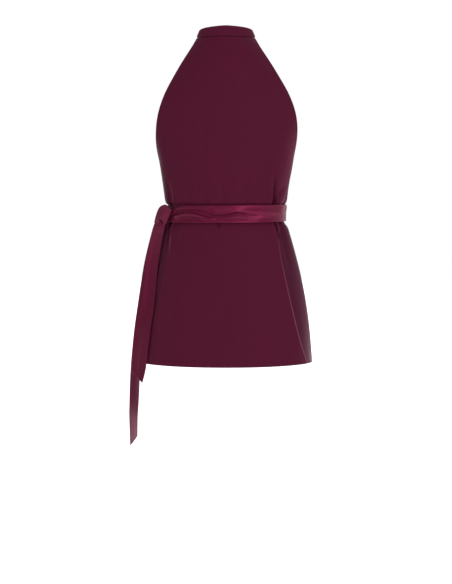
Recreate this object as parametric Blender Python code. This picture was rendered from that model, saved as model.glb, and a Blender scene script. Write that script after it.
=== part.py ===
"""A sleeveless waistcoat, filled out as if worn.

One plain back, two fronts lapped at the centre, a standing collar band and a
tied belt of the same cloth.  The back faces -Y, the fronts face +Y, and the
wearer's left is at -X.  The origin is the centre of the ring where the collar
is sewn on.  Sizes are in millimetres and the solids are made in metres.
"""
import math

import bmesh
import bpy
import numpy as np

MILLIMETRE = 0.001
QUARTER_TURN = 90.0

# Cloth
WALL = 1.5                # body cloth with its turned edges
BAND_WALL = 2.0           # collar and belt, two layers
SEAM_GAP = 0.3            # between pieces that are sewn or lie on each other

# Lengths down from the collar seam
UNDERARM = 257.0
HEM = 724.0

# Body sections, a row per level
#   down, half width, depth behind, depth in front
SECTIONS = [
    (0.0, 65.0, 62.0, 66.0),
    (25.0, 85.0, 73.0, 80.0),
    (55.0, 113.5, 85.0, 94.0),
    (95.0, 149.0, 95.0, 108.0),
    (145.0, 175.0, 103.0, 120.0),
    (195.0, 172.0, 105.0, 127.0),
    (230.0, 160.6, 105.0, 129.0),
    (257.0, 153.2, 103.8, 127.4),
    (295.0, 146.4, 100.0, 120.0),
    (335.0, 139.4, 95.0, 108.6),
    (363.0, 135.0, 91.0, 99.6),
    (372.0, 131.6, 89.2, 96.8),
    (389.0, 131.2, 89.0, 96.4),
    (410.0, 131.4, 89.1, 96.6),
    (416.0, 134.9, 91.2, 99.0),
    (424.0, 138.6, 93.4, 101.8),
    (435.0, 142.3, 96.0, 104.8),
    (459.0, 149.2, 100.6, 110.2),
    (495.0, 158.9, 107.0, 116.8),
    (535.0, 168.8, 113.0, 122.4),
    (568.0, 175.6, 116.8, 126.0),
    (605.0, 182.2, 120.6, 129.2),
    (640.0, 187.1, 123.4, 131.4),
    (685.0, 191.8, 126.2, 133.4),
    (724.0, 194.8, 128.0, 134.8),
]

# Cut edges at the armhole, a row per level
#   down, half width of the back, half width of the fronts
ARMHOLE = [
    (0.0, 64.9, 64.9),
    (12.0, 69.8, 67.4),
    (25.0, 76.8, 73.0),
    (55.0, 95.6, 90.6),
    (95.0, 117.9, 112.5),
    (145.0, 142.2, 137.0),
    (195.0, 154.3, 149.0),
    (230.0, 156.2, 154.0),
    (246.0, 154.8, 153.7),
    (253.0, 153.7, 153.1),
    (257.0, 153.2, 153.2),
]

# Seam between the back and a front, a row per level
#   down, share of the half width at which it runs on the right, on the left
SIDE_SEAM = [
    (257.0, 1.0, 1.0),
    (272.0, 0.999, 0.994),
    (288.0, 0.997, 0.975),
    (305.0, 0.992, 0.940),
    (323.0, 0.978, 0.907),
    (343.0, 0.935, 0.888),
    (361.0, 0.903, 0.885),
    (389.0, 0.883, 0.890),
    (412.0, 0.872, 0.888),
    (438.0, 0.828, 0.852),
    (470.0, 0.806, 0.828),
    (562.0, 0.820, 0.822),
    (652.0, 0.869, 0.869),
    (697.0, 0.900, 0.900),
    (724.0, 0.930, 0.930),
]

ON_RIGHT = 1              # columns of the table above
ON_LEFT = 2
SIDE_SLANT = 0.66         # girth for each radian at the side seam, as a share of the half width

# Folds pressed in or out of the body, a row per fold
#   degrees from the middle of the back, from, to, depth, width in degrees
FOLDS = [
    (54.0, 322.0, 372.0, -4.5, 5.0),
    (-60.0, 318.0, 372.0, -3.6, 6.0),
    (54.0, 407.0, 452.0, -3.0, 5.0),
    (-56.0, 407.0, 460.0, -2.8, 6.0),
    (30.0, 330.0, 374.0, -1.6, 6.0),
    (9.0, 338.0, 374.0, -1.2, 6.0),
    (-14.0, 334.0, 374.0, -1.5, 6.0),
    (-36.0, 328.0, 374.0, -1.6, 6.0),
    (-3.0, 407.0, 440.0, -1.8, 6.0),
    (26.0, 407.0, 446.0, -1.4, 6.0),
    (128.0, 322.0, 374.0, -3.0, 7.0),
    (-124.0, 326.0, 374.0, -3.0, 7.0),
    (150.0, 336.0, 374.0, -1.6, 6.0),
    (-152.0, 334.0, 374.0, -1.6, 6.0),
    (132.0, 407.0, 470.0, -2.6, 8.0),
    (-128.0, 407.0, 466.0, -2.6, 8.0),
    (22.0, 520.0, 800.0, 1.6, 11.0),
    (-24.0, 500.0, 800.0, 1.8, 11.0),
    (104.0, 470.0, 800.0, 2.4, 10.0),
    (-140.0, 500.0, 800.0, 2.6, 11.0),
    (142.0, 490.0, 800.0, 2.4, 11.0),
]

WAIST = 389.0             # folds above it deepen towards the belt, folds below it start there
FOLD_GROW = 0.55          # share of its run over which a fold deepens
FOLD_FADE = 0.35          # share of its run over which it dies out
SKIRT_FOLD_FADE = 0.7
BELT_FOLD_GROW = 10.0     # a fold that starts under the belt is full after this run

# Lapped fronts and collar ends
LAP = 15.0                # past the centre line, on either side
LAP_RAMP = 26.0           # run over which the upper layer rises
LAP_CLEAR = 4.0           # the rise is over this far before the lower layer's edge
BELT_LAP_CLEAR = 6.0      # and this far before it where the belt crosses
LAP_GAP = 0.8             # between the two layers
FRONT_DROP = 22.0         # collar seam lower in front than at the sides
DROP_FADE = 95.0          # level by which the drop has died out

# Collar band, a row per place from the middle of the back to the centre front
#   degrees, height
COLLAR_HEIGHTS = [(0.0, 20.2), (45.0, 17.4), (90.0, 14.0), (135.0, 14.4), (180.0, 14.6)]
COLLAR_SEAM_INSET = 1.4
COLLAR_LEAN = 5.0         # the top edge is this much further in

# Belt around the waist, a row per place, from the knot round the back
#   degrees, middle level down, half height, stand off from the body
BELT = [
    (-68.7, 396.0, 12.0, 10.0),
    (-65.0, 396.0, 12.5, 7.4),
    (-60.0, 395.6, 14.0, 4.8),
    (-55.0, 394.6, 16.0, 3.2),
    (-50.0, 393.6, 17.6, 2.1),
    (-40.0, 392.4, 18.6, 1.6),
    (0.0, 391.6, 18.8, 1.6),
    (45.0, 390.6, 18.8, 1.6),
    (90.0, 388.8, 18.6, 1.6),
    (180.0, 389.0, 18.8, 2.4),
    (228.0, 390.0, 18.6, 1.6),
    (240.0, 391.0, 18.0, 3.5),
    (252.0, 392.0, 17.0, 8.0),
    (262.0, 393.4, 15.6, 13.0),
    (270.0, 394.6, 14.4, 16.6),
    (276.0, 395.4, 13.4, 18.6),
    (282.0, 396.0, 12.8, 20.4),
    (285.0, 396.0, 12.5, 16.4),
    (287.5, 396.0, 12.2, 13.3),
    (290.7, 396.0, 12.0, 10.6),
]

# Knot wrap: a fold of the belt laid over itself, a row per line across it
#   stand off, level down, right edge, left edge (along the belt from the middle)
KNOT_MIDDLE = (-137.0, -33.0)
KNOT_ALONG = (-0.8, 0.6)
KNOT_OUT = (-0.6, -0.8)
KNOT_WALL = 2.2
KNOT_WRAP = [
    (-2.8, 409.0, -8.0, 5.0),
    (-2.8, 396.0, -11.0, 6.0),
    (-2.8, 383.0, -13.0, 7.0),
    (-1.4, 375.6, -14.0, 7.0),
    (2.4, 371.0, -15.0, 3.0),
    (6.2, 373.0, -20.0, 5.4),
    (8.4, 379.0, -24.5, 8.8),
    (9.8, 387.4, -25.0, 12.0),
    (10.2, 396.0, -21.5, 15.0),
    (9.2, 405.0, -15.6, 18.6),
    (8.0, 412.0, -10.4, 21.4),
    (7.7, 415.5, -8.8, 21.8),
]

# Belt ends, a row per line across them: the right and the left edge
#   x, y, down, x, y, down
SHORT_TAIL = [
    (-133.7, -41.9, 386.0, -147.6, -31.5, 386.0),
    (-132.9, -42.5, 400.0, -151.2, -28.8, 400.0),
    (-134.9, -41.0, 414.0, -156.8, -24.6, 414.0),
    (-138.0, -38.0, 426.0, -162.2, -22.4, 424.0),
    (-142.4, -35.0, 450.0, -169.2, -21.4, 448.0),
    (-152.2, -42.0, 507.0, -181.8, -27.6, 505.0),
    (-158.6, -59.0, 582.0, -194.0, -42.6, 582.0),
    (-168.6, -61.0, 650.0, -204.0, -43.6, 650.0),
    (-177.6, -57.0, 718.0, -211.0, -38.4, 715.0),
    (-180.4, -56.0, 738.0, -212.0, -37.0, 733.0),
    (-187.4, -54.0, 767.0, -212.0, -36.6, 744.0),
]
LONG_TAIL = [
    (-133.7, -38.6, 386.0, -145.7, -29.6, 386.0),
    (-133.7, -38.6, 402.0, -148.1, -27.8, 402.0),
    (-136.6, -36.0, 414.0, -151.4, -24.9, 414.0),
    (-142.6, -28.0, 430.0, -156.0, -14.6, 430.0),
    (-152.6, -20.0, 460.0, -163.0, -2.0, 460.0),
    (-165.0, -17.0, 507.0, -176.0, 12.0, 507.0),
    (-183.6, -18.0, 586.0, -190.6, 16.0, 586.0),
    (-193.4, -17.0, 654.0, -203.6, 18.0, 654.0),
    (-198.2, -15.0, 722.0, -213.6, 19.0, 722.0),
    (-199.0, -14.0, 775.0, -217.8, 20.0, 775.0),
    (-201.6, -14.0, 850.0, -219.6, 21.0, 853.0),
    (-202.8, -14.0, 892.0, -218.0, 21.0, 916.0),
]
TAIL_BOW = 2.0            # how far the middle of an end stands forward
TAIL_FREE = 416.0         # level at which the ends leave the knot
TAIL_BOW_RUN = 40.0       # run over which the bow grows
KNOT_BOW = 2.4            # the same for the wrap of the knot
KNOT_BOW_RUN = 8.0        # stand off at which it is full

# Faceting
NORMAL_STEP = 4.0         # a normal is read over this much down
NORMAL_TURN = 2.0         # and over this many degrees round
PANEL_LEVELS = [
    0.0, 12.0, 25.0, 42.0, 64.0, 90.0, 120.0, 152.0, 182.0, 208.0, 228.0, 243.0, 252.5,
    257.0, 278.0, 302.0, 326.0, 346.0, 361.0, 370.0, 389.0, 411.0, 417.0, 428.0, 448.0,
    478.0, 520.0, 570.0, 622.0, 674.0, 724.0,
]
BACK_COLUMNS = 20
FRONT_COLUMNS = 16
COLLAR_COLUMNS = 44
COLLAR_ROWS = 3
BELT_COLUMNS = 72
BELT_ROWS = 3
TAIL_ROWS = 24
TAIL_COLUMNS = 3
WRAP_ROWS = 22
WRAP_COLUMNS = 6

SHARP_EDGE = 40.0         # degrees, above which an edge stays sharp

# Cloth colours, red green blue, and how dull each cloth is
CREPE = (0.0865, 0.0097, 0.0273)
CREPE_DEEP = (0.0740, 0.0080, 0.0228)
SATIN = (0.1120, 0.0144, 0.0356)
SATIN_LIGHT = (0.1480, 0.0300, 0.0520)
CREPE_DULL = 0.75
SATIN_DULL = 0.42


def soft_curve(table, column, places):
    """Read one column of a table between its rows without overshoot."""
    rows = np.array(table, dtype=float)
    at = rows[:, 0]
    value = rows[:, column]
    step = np.diff(at)
    rise = np.diff(value) / step
    slope = np.zeros(len(at))
    slope[0] = rise[0]
    slope[-1] = rise[-1]
    for i in range(1, len(at) - 1):
        if rise[i - 1] * rise[i] > 0.0:
            slope[i] = 2.0 / (1.0 / rise[i - 1] + 1.0 / rise[i])
    places = np.clip(np.asarray(places, dtype=float), at[0], at[-1])
    cell = np.clip(np.searchsorted(at, places, side="right") - 1, 0, len(at) - 2)
    part = (places - at[cell]) / step[cell]
    keep = (1.0 + 2.0 * part) * (1.0 - part) ** 2
    reach = part ** 2 * (3.0 - 2.0 * part)
    leave = part * (1.0 - part) ** 2 * step[cell]
    arrive = part ** 2 * (part - 1.0) * step[cell]
    ends = keep * value[cell] + reach * value[cell + 1]
    return ends + leave * slope[cell] + arrive * slope[cell + 1]


def smooth_step(part):
    """Rise softly from nought to one."""
    part = np.clip(part, 0.0, 1.0)
    return part * part * (3.0 - 2.0 * part)


def turned(angle):
    """An angle brought to between -180 and 180 degrees."""
    return (np.asarray(angle) + 180.0) % 360.0 - 180.0


def fold_depth(down, angle):
    """How far the cloth is pressed out (or in) by its folds."""
    total = np.zeros(np.broadcast(down, angle).shape)
    for middle, top, bottom, depth, width in FOLDS:
        beside = turned(angle - middle) / width
        fade_in = smooth_step((down - top) / (FOLD_GROW * (min(bottom, HEM) - top)))
        fade_out = smooth_step((bottom - down) / (FOLD_FADE * (bottom - top)))
        if top > WAIST:
            fade_out = smooth_step((bottom - down) / (SKIRT_FOLD_FADE * (bottom - top)))
            if bottom <= HEM:
                fade_in = smooth_step((down - top) / BELT_FOLD_GROW)
        total = total + depth * np.exp(-beside ** 2) * fade_in * fade_out
    return total


def body_point(down, angle, lift=0.0, level=False):
    """Outer face of the body cloth; angle 0 is the middle of the back."""
    down = np.asarray(down, dtype=float)
    angle = np.asarray(angle, dtype=float)
    down, angle = np.broadcast_arrays(down, angle)
    turn = np.radians(angle)
    width = soft_curve(SECTIONS, 1, down)
    behind = soft_curve(SECTIONS, 2, down)
    ahead = soft_curve(SECTIONS, 3, down)
    depth = np.where(np.cos(turn) > 0.0, behind, ahead)
    across = np.sin(turn) * depth
    along = np.cos(turn) * width
    length = np.hypot(across, along)
    out_x = across / length
    out_y = -along / length
    away = fold_depth(down, angle) + lift
    x = width * np.sin(turn) + out_x * away
    y = -depth * np.cos(turn) + out_y * away
    front = smooth_step((np.abs(turned(angle)) - QUARTER_TURN) / QUARTER_TURN)
    drop = FRONT_DROP * front * np.clip(1.0 - down / DROP_FADE, 0.0, 1.0)
    if level:
        drop = 0.0
    return np.stack([x, y, -down - drop], axis=-1)


def lap_lift(down, angle, height):
    """Rise of the upper layer where the right side laps over the left."""
    width = soft_curve(SECTIONS, 1, down)
    x = width * np.sin(np.radians(angle))
    in_front = np.cos(np.radians(angle)) < 0.0
    rise = smooth_step((LAP + LAP_CLEAR + LAP_RAMP - x) / LAP_RAMP)
    return np.where(in_front, height * rise, 0.0)


def body_normal(down, angle, lift):
    """Outward normal of the body cloth, the same for every piece that meets there."""
    above = np.clip(down - NORMAL_STEP, 0.0, HEM)
    below = np.clip(down + NORMAL_STEP, 0.0, HEM)
    fall = body_point(below, angle, lift(below, angle)) - body_point(above, angle, lift(above, angle))
    before = angle - NORMAL_TURN
    after = angle + NORMAL_TURN
    sweep = body_point(down, after, lift(down, after)) - body_point(down, before, lift(down, before))
    normal = np.cross(fall, sweep)
    return normal / np.linalg.norm(normal, axis=-1, keepdims=True)


def grid_normals(grid):
    """Unit normals of a grid of points, rows down and columns across."""
    down_step = np.gradient(grid, axis=0)
    across_step = np.gradient(grid, axis=1)
    normal = np.cross(across_step, down_step)
    return normal / np.linalg.norm(normal, axis=-1, keepdims=True)


def slab(name, outer, inner, colour, roughness):
    """Close two grids of points into one thin solid."""
    rows, columns = outer.shape[:2]
    shape = bmesh.new()
    for face in (outer, inner):
        made = bmesh.ops.create_grid(shape, x_segments=columns - 1, y_segments=rows - 1, size=1.0)
        for corner, point in zip(made["verts"], face.reshape(-1, 3)):
            corner.co = point * MILLIMETRE
    rims = [edge for edge in shape.edges if edge.is_boundary]
    bmesh.ops.bridge_loops(shape, edges=rims)
    bmesh.ops.recalc_face_normals(shape, faces=shape.faces)
    mesh = bpy.data.meshes.new(name)
    shape.to_mesh(mesh)
    shape.free()
    mesh.shade_smooth()
    mesh.set_sharp_from_angle(angle=math.radians(SHARP_EDGE))
    mesh.materials.append(cloth_material(name, colour, roughness))
    piece = bpy.data.objects.new(name, mesh)
    bpy.context.scene.collection.objects.link(piece)
    return piece


def cloth_material(name, colour, roughness):
    """The plain dyed cloth of one piece."""
    cloth = bpy.data.materials.new(name + "_cloth")
    cloth.use_nodes = True
    surface = cloth.node_tree.nodes["Principled BSDF"]
    surface.inputs["Base Color"].default_value = (*colour, 1.0)
    surface.inputs["Roughness"].default_value = roughness
    surface.inputs["Metallic"].default_value = 0.0
    return cloth


def side_angle(down, side):
    """Angle of a side edge of the back: armhole above, seam below."""
    down = np.asarray(down, dtype=float)
    width = soft_curve(SECTIONS, 1, down)
    above = np.clip(soft_curve(ARMHOLE, 1, down) / width, 0.0, 1.0)
    below = soft_curve(SIDE_SEAM, side, down)
    share = np.where(down < UNDERARM, above, below)
    return np.degrees(np.arcsin(share))


def front_side_angle(down, side):
    """Angle of the side edge of a front."""
    down = np.asarray(down, dtype=float)
    width = soft_curve(SECTIONS, 1, down)
    above = np.clip(soft_curve(ARMHOLE, 2, down) / width, 0.0, 1.0)
    cut = 180.0 - np.degrees(np.arcsin(above))
    return np.where(down < UNDERARM, cut, side_angle(down, side))


def seam_allowance(down):
    """Half of the seam gap as an angle."""
    width = soft_curve(SECTIONS, 1, down)
    return np.degrees(0.5 * SEAM_GAP / (SIDE_SLANT * width))


def panel(name, left, right, columns, lift, colour):
    """A body panel between two edge angles given for every level."""
    down = np.array(PANEL_LEVELS)
    share = np.linspace(0.0, 1.0, columns + 1)
    angle = left[:, None] + (right - left)[:, None] * share[None, :]
    level = np.broadcast_to(down[:, None], angle.shape)
    outer = body_point(level, angle, lift(level, angle))
    inner = outer - body_normal(level, angle, lift) * WALL
    return slab(name, outer, inner, colour, CREPE_DULL)


def no_lift(down, angle):
    """Cloth that lies on the body itself."""
    return np.zeros(np.shape(angle))


def right_lift(down, angle):
    """The right front rides over the left one, further where the cloth slopes."""
    normal = body_normal(down, angle, no_lift)
    steepness = np.hypot(normal[..., 0], normal[..., 1])
    return lap_lift(down, angle, WALL + LAP_GAP) / steepness


def make_panels():
    """The back and the two fronts."""
    down = np.array(PANEL_LEVELS)
    allowance = seam_allowance(down)
    back_left = allowance - side_angle(down, ON_LEFT)
    back_right = side_angle(down, ON_RIGHT) - allowance
    panel("back_panel", back_left, back_right, BACK_COLUMNS, no_lift, CREPE)
    past_centre = 180.0 + np.degrees(np.arcsin(LAP / soft_curve(SECTIONS, 1, down)))
    right_edge = front_side_angle(down, ON_RIGHT) + allowance
    panel("front_right", right_edge, past_centre, FRONT_COLUMNS, right_lift, CREPE)
    left_edge = -front_side_angle(down, ON_LEFT) - allowance
    panel("front_left", left_edge, -past_centre, FRONT_COLUMNS, no_lift, CREPE_DEEP)


def make_collar():
    """The standing band; its right end laps over its left end."""
    end = 180.0 + math.degrees(math.asin(LAP / SECTIONS[0][1]))
    angle = np.linspace(-end, end, COLLAR_COLUMNS + 1)
    share = np.linspace(1.0, 0.0, COLLAR_ROWS + 1)
    height = soft_curve(COLLAR_HEIGHTS, 1, np.clip(np.abs(angle), 0.0, 180.0))
    raised = np.where(angle > 0.0, lap_lift(0.0, angle, BAND_WALL + SEAM_GAP), 0.0)
    seam = body_point(0.0, angle, 0.0)
    rows = []
    for part in share:
        inset = -COLLAR_SEAM_INSET - COLLAR_LEAN * part
        line = body_point(0.0, angle, inset + raised)
        line[:, 2] = seam[:, 2] + SEAM_GAP + height * part
        rows.append(line)
    outer = np.array(rows)
    inner_rows = []
    for part in share:
        inset = -COLLAR_SEAM_INSET - COLLAR_LEAN * part - BAND_WALL
        line = body_point(0.0, angle, inset + raised)
        line[:, 2] = seam[:, 2] + SEAM_GAP + height * part
        inner_rows.append(line)
    inner = np.array(inner_rows)
    slab("collar", outer, inner, CREPE_DEEP, CREPE_DULL)


def make_belt_band():
    """The belt round the waist, its two ends meeting under the knot."""
    angle = np.linspace(BELT[0][0], BELT[-1][0], BELT_COLUMNS + 1)
    middle = soft_curve(BELT, 1, angle)
    half = soft_curve(BELT, 2, angle)
    stand_off = soft_curve(BELT, 3, angle)
    share = np.linspace(-1.0, 1.0, BELT_ROWS + 1)
    level = middle[None, :] + share[:, None] * half[None, :]
    around = np.broadcast_to(angle[None, :], level.shape)
    width = soft_curve(SECTIONS, 1, level)
    x = width * np.sin(np.radians(around))
    in_front = np.cos(np.radians(around)) < 0.0
    beside = smooth_step((LAP + BELT_LAP_CLEAR + LAP_RAMP - np.abs(x)) / LAP_RAMP)
    over_lap = np.where(in_front, (WALL + LAP_GAP) * beside, 0.0)
    lift = stand_off[None, :] + over_lap
    half_wall = 0.5 * BAND_WALL
    outer = body_point(level, around, lift + half_wall, level=True)
    inner = body_point(level, around, lift - half_wall, level=True)
    slab("belt_band", outer, inner, SATIN, SATIN_DULL)


def strip_solid(name, right, left, bow, wall, columns, colour):
    """A strip of cloth hung between two edges."""
    share = np.linspace(0.0, 1.0, columns + 1)
    flat = right[:, None, :] + (left - right)[:, None, :] * share[None, :, None]
    normal = grid_normals(flat)
    outward = np.array([KNOT_OUT[0], KNOT_OUT[1], 0.0])
    if np.mean(np.sum(normal * outward, axis=-1)) < 0.0:
        normal = -normal
    middle = flat + normal * (bow[:, None] * np.sin(math.pi * share)[None, :])[..., None]
    outer = middle + normal * (0.5 * wall)
    inner = middle - normal * (0.5 * wall)
    return slab(name, outer, inner, colour, SATIN_DULL)


def run_along(table, count):
    """Read every column of a table at even steps along its rows."""
    numbered = [(float(i), *row) for i, row in enumerate(table)]
    places = np.linspace(0.0, len(table) - 1.0, count)
    columns = [soft_curve(numbered, c, places) for c in range(1, len(table[0]) + 1)]
    return np.array(columns)


def make_tail(name, table, colour):
    """One hanging end of the belt."""
    lines = run_along(table, TAIL_ROWS + 1)
    right = np.stack([lines[0], lines[1], -lines[2]], axis=-1)
    left = np.stack([lines[3], lines[4], -lines[5]], axis=-1)
    bow = TAIL_BOW * smooth_step((lines[2] - TAIL_FREE) / TAIL_BOW_RUN)
    strip_solid(name, right, left, bow, BAND_WALL, TAIL_COLUMNS, colour)


def make_knot():
    """The wrap of the knot, a saddle of cloth over the belt."""
    out, down, right_at, left_at = run_along(KNOT_WRAP, WRAP_ROWS + 1)
    share = np.linspace(0.0, 1.0, WRAP_COLUMNS + 1)
    along = right_at[:, None] + (left_at - right_at)[:, None] * share[None, :]
    plump = KNOT_BOW * smooth_step(out / KNOT_BOW_RUN)[:, None] * np.sin(math.pi * share)[None, :]
    section = np.stack([out, -down], axis=-1)
    run = np.gradient(section, axis=0)
    run = run / np.linalg.norm(run, axis=-1, keepdims=True)
    face = np.stack([-run[:, 1], run[:, 0]], axis=-1)
    grids = []
    for side in (0.5, -0.5):
        away = out[:, None] + face[:, 0:1] * KNOT_WALL * side + plump
        height = np.broadcast_to(-down[:, None] + face[:, 1:2] * KNOT_WALL * side, along.shape)
        x = KNOT_MIDDLE[0] + KNOT_ALONG[0] * along + KNOT_OUT[0] * away
        y = KNOT_MIDDLE[1] + KNOT_ALONG[1] * along + KNOT_OUT[1] * away
        grids.append(np.stack([x, y, height], axis=-1))
    slab("belt_knot", grids[0], grids[1], SATIN_LIGHT, SATIN_DULL)


def make_waistcoat():
    """All the pieces of the waistcoat."""
    for thing in list(bpy.data.objects):
        bpy.data.objects.remove(thing, do_unlink=True)
    make_panels()
    make_collar()
    make_belt_band()
    make_tail("belt_tail_short", SHORT_TAIL, SATIN)
    make_tail("belt_tail_long", LONG_TAIL, SATIN_LIGHT)
    make_knot()


make_waistcoat()
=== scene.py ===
# %% [markdown]
# # A sleeveless waistcoat with a tied belt, made in Blender
#
# The real garment is cut from a plain burgundy crepe: one back, two fronts that lap
# at the centre, and a standing collar.  Its belt is a softer satin of the same colour,
# tied at the wearer's left side.  The view shows the back.
#
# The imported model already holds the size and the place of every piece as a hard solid.
# Each solid could simply be given a cloth material, but facets and square rims never
# look like cloth.  So every piece is made again as a thin shell on the same form, and
# the creases, rolled edges and weave are added to that shell.

import math

import bmesh
import bpy
import numpy as np
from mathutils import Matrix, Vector
from mathutils.kdtree import KDTree


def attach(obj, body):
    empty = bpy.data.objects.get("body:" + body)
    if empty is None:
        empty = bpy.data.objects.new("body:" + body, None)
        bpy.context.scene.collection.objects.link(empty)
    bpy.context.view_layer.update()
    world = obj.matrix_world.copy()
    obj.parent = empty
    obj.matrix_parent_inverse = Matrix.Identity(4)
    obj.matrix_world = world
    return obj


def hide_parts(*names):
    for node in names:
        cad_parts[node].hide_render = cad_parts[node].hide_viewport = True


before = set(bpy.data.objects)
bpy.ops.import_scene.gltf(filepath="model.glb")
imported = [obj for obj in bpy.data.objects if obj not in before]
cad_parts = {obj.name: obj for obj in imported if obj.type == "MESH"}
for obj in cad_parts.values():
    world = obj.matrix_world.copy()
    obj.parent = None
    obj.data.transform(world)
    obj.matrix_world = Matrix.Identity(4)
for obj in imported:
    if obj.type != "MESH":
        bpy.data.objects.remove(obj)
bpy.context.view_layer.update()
print("pieces:", sorted(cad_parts))

# %% [markdown]
# ## Camera
#
# The garment was photographed from far off with a long lens, a little above the waist
# and looking slightly down, so the hem shows as a shallow curve and the collar as an
# arch.  A long lens far away keeps both sides parallel, as in the photograph.

# %% Place the camera
EYE = Vector((0.0, -3.2, -0.351))
LOOK_AT = Vector((0.0, 0.0, -0.568))
LENS = 87.48


def look_from(thing, place, target):
    """Put a camera or a light at a place and turn it towards a target."""
    thing.location = place
    thing.rotation_euler = (target - place).to_track_quat("-Z", "Y").to_euler()


lens = bpy.data.cameras.new("studio_camera")
lens.lens = LENS
camera = bpy.data.objects.new("studio_camera", lens)
bpy.context.scene.collection.objects.link(camera)
look_from(camera, EYE, LOOK_AT)
bpy.context.scene.camera = camera
print("camera", (LOOK_AT - EYE).length, "m from the garment")

# %% [markdown]
# ## Light and floor
#
# A white studio.  Broad soft boxes stand in front and behind, and two small cards low
# at the sides light the hem and the long end.  The surroundings could be one even
# white, but the cloth in the photograph is lit a little more from the left and from
# level than from above, and what shines in it is brighter above and to the right.  So
# a Light Path node gives the camera, matt surfaces and shiny ones a strength each.
# The floor is a pale disc well below the hem.

# %% Surroundings
WHITE = (1.0, 1.0, 1.0, 1.0)
#   what a matt surface gathers: the share from straight above, from the left and from the right
AMBIENT_ZENITH = 0.15
AMBIENT_LEFT = 1.42
AMBIENT_RIGHT = 1.01
#   what a shiny surface mirrors: by how far to the right, how far behind, how far up
SHINE_LEFT = 0.10
SHINE_RIGHT = 0.95
SHINE_BEHIND = 0.30
SHINE_BELOW = 0.25
SHINE_ABOVE = 1.75
#   how far up or down, and how far behind, the shine goes on changing
SHINE_TILT = 0.7
BEHIND_FROM = 0.1
BEHIND_TO = 0.9


def set_inputs(node, **values):
    """Set a node's plain inputs by name, with _ for each space."""
    for label, value in values.items():
        node.inputs[label.replace("_", " ")].default_value = value
    return node


def add_node(tree, kind, **values):
    """A shader node with its plain inputs."""
    return set_inputs(tree.nodes.new("ShaderNode" + kind), **values)


def join(source, target):
    """Link one node's output to another's input."""
    target.id_data.links.new(source, target)


def add_math(tree, operation, *values):
    """A Math node fed by sockets or plain numbers."""
    node = add_node(tree, "Math")
    node.operation = operation
    for slot, value in zip(node.inputs, values):
        if isinstance(value, float):
            slot.default_value = value
        else:
            join(value, slot)
    return node.outputs["Value"]


def add_ramp(tree, source, low, high, start, end):
    """Read a value between two levels as a value between two others."""
    node = add_node(tree, "MapRange", From_Min=low, From_Max=high, To_Min=start, To_Max=end)
    join(source, node.inputs["Value"])
    return node.outputs["Result"]


def make_surroundings():
    """White behind the garment, a soft white to light it, a one-sided wall to shine in it."""
    world = bpy.data.worlds.new("white_studio")
    world.use_nodes = True
    tree = world.node_tree
    tree.nodes.clear()
    seen = add_node(tree, "Background", Color=WHITE, Strength=1.0)
    felt = add_node(tree, "Background", Color=WHITE)
    path = add_node(tree, "LightPath")
    choice = add_node(tree, "MixShader")
    output = add_node(tree, "OutputWorld")
    direction = add_node(tree, "TexCoord")
    parts = add_node(tree, "SeparateXYZ")
    join(direction.outputs["Generated"], parts.inputs["Vector"])
    x, y, z = parts.outputs
    soft = add_ramp(tree, z, 0.0, 1.0, 1.0, AMBIENT_ZENITH)
    sideways = add_ramp(tree, x, -1.0, 1.0, AMBIENT_LEFT, AMBIENT_RIGHT)
    across = add_ramp(tree, x, -1.0, 1.0, SHINE_LEFT, SHINE_RIGHT)
    upward = add_ramp(tree, z, -SHINE_TILT, SHINE_TILT, SHINE_BELOW, SHINE_ABOVE)
    behind = add_ramp(tree, y, BEHIND_FROM, BEHIND_TO, 1.0, SHINE_BEHIND)
    level = add_math(tree, "MULTIPLY", across, behind)
    strength = add_node(tree, "Mix")
    join(path.outputs["Is Glossy Ray"], strength.inputs["Factor"])
    join(add_math(tree, "MULTIPLY", soft, sideways), strength.inputs["A"])
    join(add_math(tree, "MULTIPLY", level, upward), strength.inputs["B"])
    join(strength.outputs["Result"], felt.inputs["Strength"])
    join(path.outputs["Is Camera Ray"], choice.inputs["Fac"])
    join(felt.outputs["Background"], choice.inputs[1])
    join(seen.outputs["Background"], choice.inputs[2])
    join(choice.outputs["Shader"], output.inputs["Surface"])
    bpy.context.scene.world = world
    return world


print("surroundings:", make_surroundings().name)
bpy.context.scene.view_settings.view_transform = "Standard"

# %% Soft boxes
CHEST = Vector((0.0, 0.0, -0.40))
# name, place, aim, width, height, watts
SOFT_BOXES = [
    ("box_right", Vector((1.35, -2.4, 0.10)), CHEST, 1.6, 1.4, 18.6),
    ("box_left", Vector((-1.9, -2.2, -0.45)), CHEST, 2.4, 2.4, 4.4),
    ("strip_right", Vector((1.55, 1.25, -0.25)), CHEST, 0.5, 1.3, 2.6),
    ("box_behind_right", Vector((0.8, 2.7, 0.15)), CHEST, 0.9, 0.9, 22.0),
    ("box_behind_left", Vector((-1.2, 2.6, -0.35)), CHEST, 1.3, 1.6, 22.0),
    ("card_low_left", Vector((-0.65, 0.35, -1.12)), Vector((-0.21, 0.0, -0.92)), 0.3, 0.3, 0.24),
    ("card_low_right", Vector((0.48, 0.38, -0.98)), Vector((0.19, 0.0, -0.74)), 0.3, 0.3, 10.5),
]


def make_soft_box(name, place, aim, width, height, watts):
    """A rectangular soft box turned to its aim."""
    lamp = bpy.data.lights.new(name, "AREA")
    lamp.shape = "RECTANGLE"
    lamp.size = width
    lamp.size_y = height
    lamp.energy = watts
    box = bpy.data.objects.new(name, lamp)
    box.visible_camera = False
    bpy.context.scene.collection.objects.link(box)
    look_from(box, place, aim)


for row in SOFT_BOXES:
    make_soft_box(*row)
print(len(SOFT_BOXES), "soft boxes")

# %% Floor
FLOOR_LEVEL = -1.35
FLOOR_RADIUS = 14.0
FLOOR_SIDES = 96
FLOOR_COLOUR = (0.85, 0.85, 0.85, 1.0)
FLOOR_DULLNESS = 0.9


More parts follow.
